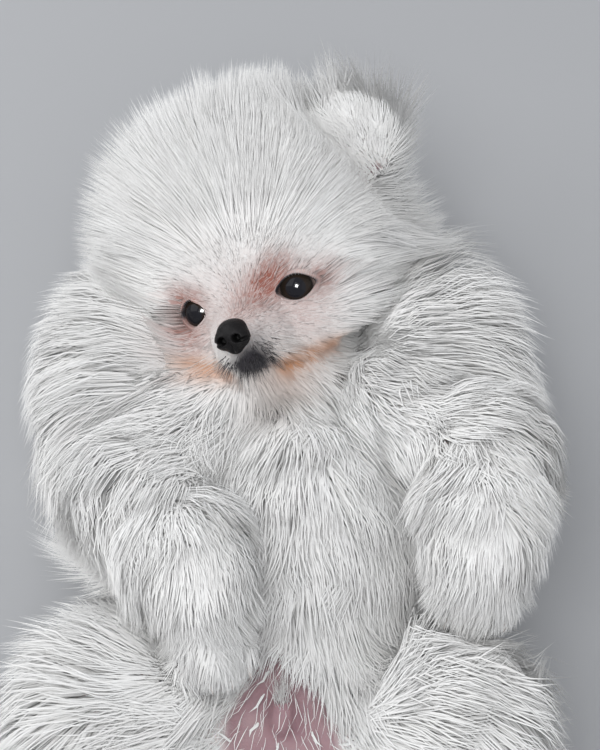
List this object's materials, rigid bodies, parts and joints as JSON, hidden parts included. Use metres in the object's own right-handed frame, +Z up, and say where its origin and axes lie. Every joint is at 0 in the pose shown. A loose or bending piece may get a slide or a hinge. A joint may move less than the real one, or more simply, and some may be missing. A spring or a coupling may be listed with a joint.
{
  "type": "pomeranian",
  "caption": "White pomeranian puppy lying on its back, head raised and paws folded, life size, still model.",
  "frame": {"origin": "middle of the model's footprint, on the floor that it lies on", "axes": "+Z up, +Y from the tail to the head, +X to the dog's left side"},
  "size_m": [0.1726, 0.3294, 0.1077],
  "materials": {
    "coat": "matt",
    "eye": "gloss",
    "nose": "satin",
    "skin": "satin",
    "claw": "satin"
  },
  "bodies": {
    "root": {"eye_left": "eye", "eye_right": "eye", "ear_left": "coat", "ear_right": "coat", "forepaw_left": "coat", "forepaw_right": "coat", "foreleg_left": "coat", "foreleg_right": "coat", "hindfoot_left": "coat", "hindfoot_right": "coat", "hindleg_left": "coat", "hindleg_right": "coat", "ruff_left": "coat", "ruff_right": "coat", "nose": "nose", "head": "coat", "chest": "coat", "neck": "coat", "belly": "coat", "tail": "coat"}
  },
  "joints": []
}
